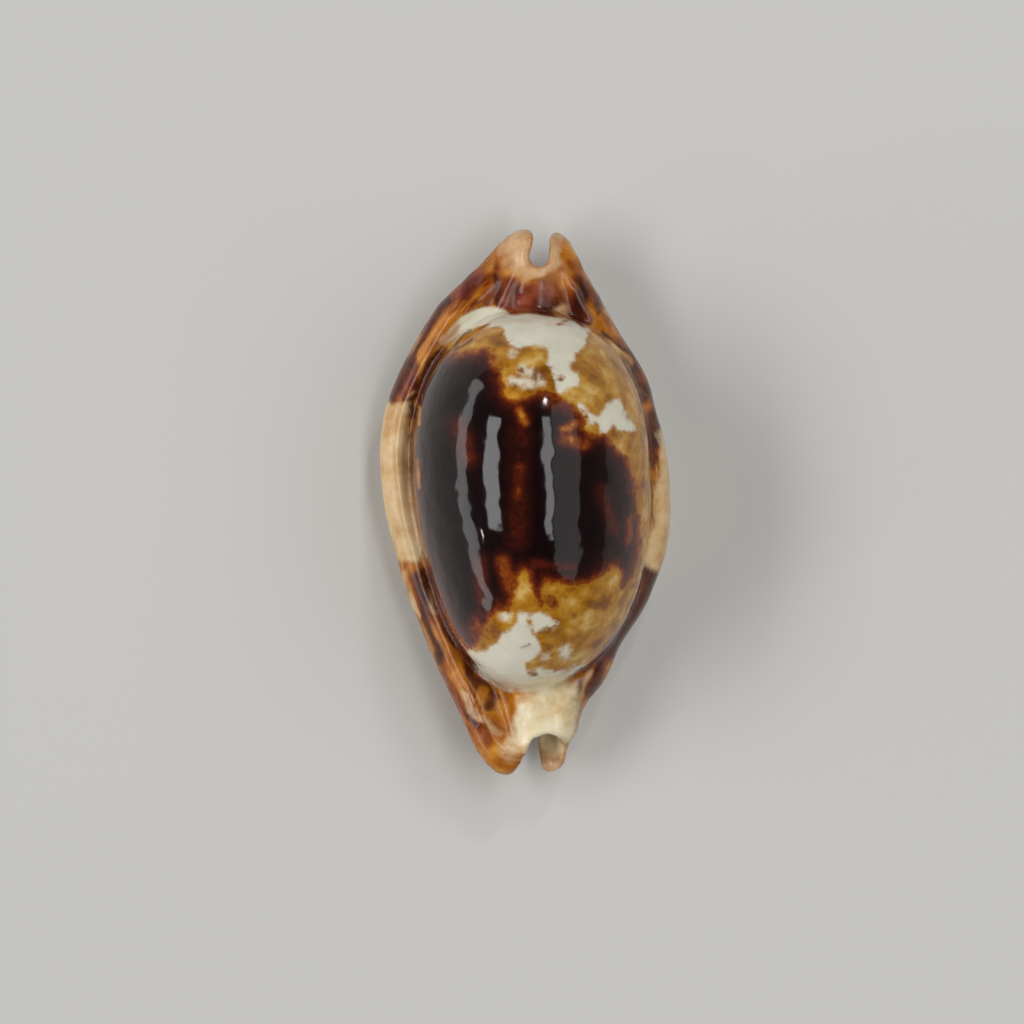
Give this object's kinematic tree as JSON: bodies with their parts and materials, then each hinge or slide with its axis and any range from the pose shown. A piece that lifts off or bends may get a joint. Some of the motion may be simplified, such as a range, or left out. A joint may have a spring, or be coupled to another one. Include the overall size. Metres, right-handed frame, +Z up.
{
  "type": "stolid cowrie shell",
  "caption": "Small glossy cowrie shell with a domed dorsum, callused margins, notched ends and a toothed aperture along its base; rests on the flat of the base.",
  "frame": {"origin": "middle of the footprint, on the plane that the base rests on", "axes": "+Z up towards the dorsum, +Y towards the posterior end with the narrow notch, +X towards the columellar side"},
  "size_m": [0.016, 0.03, 0.0129],
  "materials": {
    "shell": "gloss"
  },
  "bodies": {
    "root": {"shell": "shell"}
  },
  "joints": []
}
